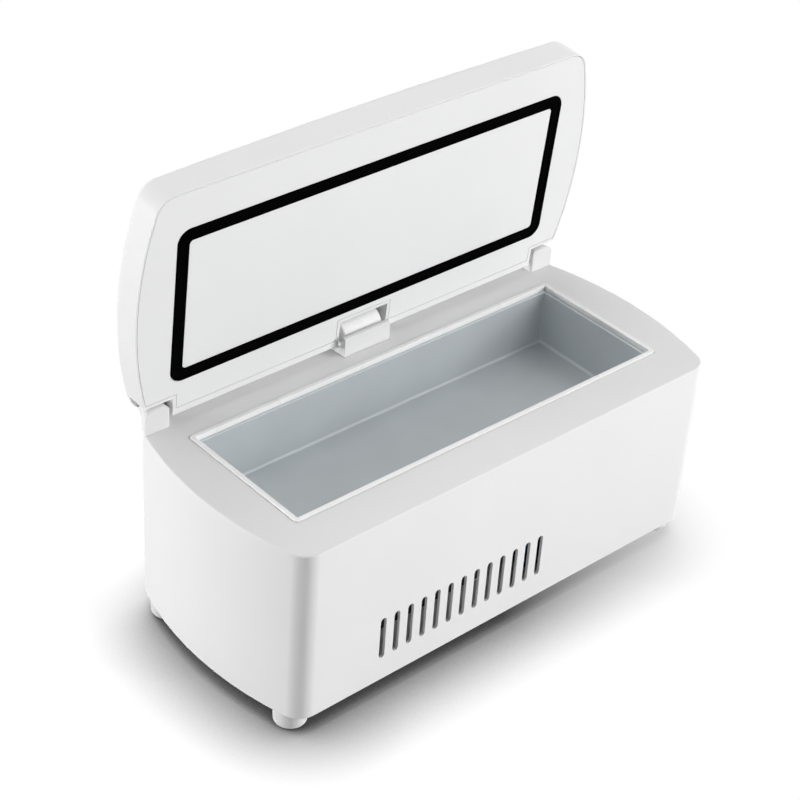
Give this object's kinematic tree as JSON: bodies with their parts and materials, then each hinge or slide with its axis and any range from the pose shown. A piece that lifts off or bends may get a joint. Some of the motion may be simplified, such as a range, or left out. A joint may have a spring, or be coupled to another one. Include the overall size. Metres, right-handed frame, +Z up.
{
  "type": "insulin cooling case",
  "caption": "Small upright-walled medicine cooling case with bowed ends, a metal-lined tray in the deck, vent slots low in the front and a hinged, gasketed lid standing open.",
  "frame": {"origin": "centre of the bounding box in plan, on the surface that the feet stand on", "axes": "+X along the case towards the end without the fan, +Y towards the lid hinge, +Z up"},
  "size_m": [0.206, 0.1006, 0.1756],
  "materials": {
    "white_shell": "smooth semi-gloss white moulded plastic",
    "trim": "smooth bright white moulded plastic",
    "barrel": "polished white plastic",
    "cooling_metal": "satin anodised",
    "steel": "plain zinc-coated",
    "gasket_rubber": "smooth matt black",
    "foam": "closed-cell insulating foam",
    "black_plastic": "matt black moulded plastic",
    "ceramic": "unglazed white ceramic",
    "board": "green solder mask",
    "battery_wrap": "blue shrink wrap",
    "window": "smoked clear plastic",
    "button": "smooth light grey plastic"
  },
  "bodies": {
    "case_body": {"body_shell": "white_shell", "base_plate": "white_shell", "opening_trim": "trim", "cold_tray": "cooling_metal", "foam_jacket": "foam", "temperature_sensor": "steel", "cold_block": "cooling_metal", "thermoelectric_module": "ceramic", "heat_sink": "cooling_metal", "clamp_screw_1": "steel", "clamp_screw_2": "steel", "fan_frame": "black_plastic", "fan_screw_1": "steel", "fan_screw_2": "steel", "fan_screw_3": "steel", "fan_screw_4": "steel", "battery_pack": "battery_wrap", "circuit_board": "board", "power_socket": "black_plastic", "foot_front_left": "white_shell", "foot_front_right": "white_shell", "foot_back_left": "white_shell", "foot_back_right": "white_shell", "body_magnet_left": "steel", "body_magnet_right": "steel", "hinge_pin_left": "steel", "hinge_pin_right": "steel", "base_screw_1": "steel", "base_screw_2": "steel", "base_screw_3": "steel", "base_screw_4": "steel", "hinge_block": "white_shell", "hinge_barrel": "barrel", "hinge_screw_1": "steel", "hinge_screw_2": "steel"},
    "lid": {"lid_shell": "white_shell", "lid_panel": "white_shell", "gasket": "gasket_rubber", "lid_foam": "foam", "hinge_spindle": "steel", "display_window": "window", "display_module": "black_plastic", "lid_board": "board", "lid_magnet_left": "steel", "lid_magnet_right": "steel"},
    "fan_rotor_body": {"fan_rotor": "black_plastic"},
    "power_button_body": {"power_button": "button"},
    "set_button_body": {"set_button": "button"}
  },
  "joints": [
    {"name": "lid_hinge", "type": "hinge", "parent": "case_body", "child": "lid", "pos_m": [0, 0.04024, 0.0848], "axis": [1, 0, 0], "range_deg": [-9.7, 85.3]},
    {"name": "fan_spin", "type": "hinge", "parent": "case_body", "child": "fan_rotor_body", "pos_m": [-0.0222, -0.00351, 0.018], "axis": [0, 0, 1], "continuous": true},
    {"name": "power_button_press", "type": "slide", "parent": "lid", "child": "power_button_body", "axis": [0, -0.9966, -0.0819], "range_m": [0, 0.0008], "stiffness_N_per_m": 800},
    {"name": "set_button_press", "type": "slide", "parent": "lid", "child": "set_button_body", "axis": [0, -0.9966, -0.0819], "range_m": [0, 0.0008], "stiffness_N_per_m": 800}
  ]
}
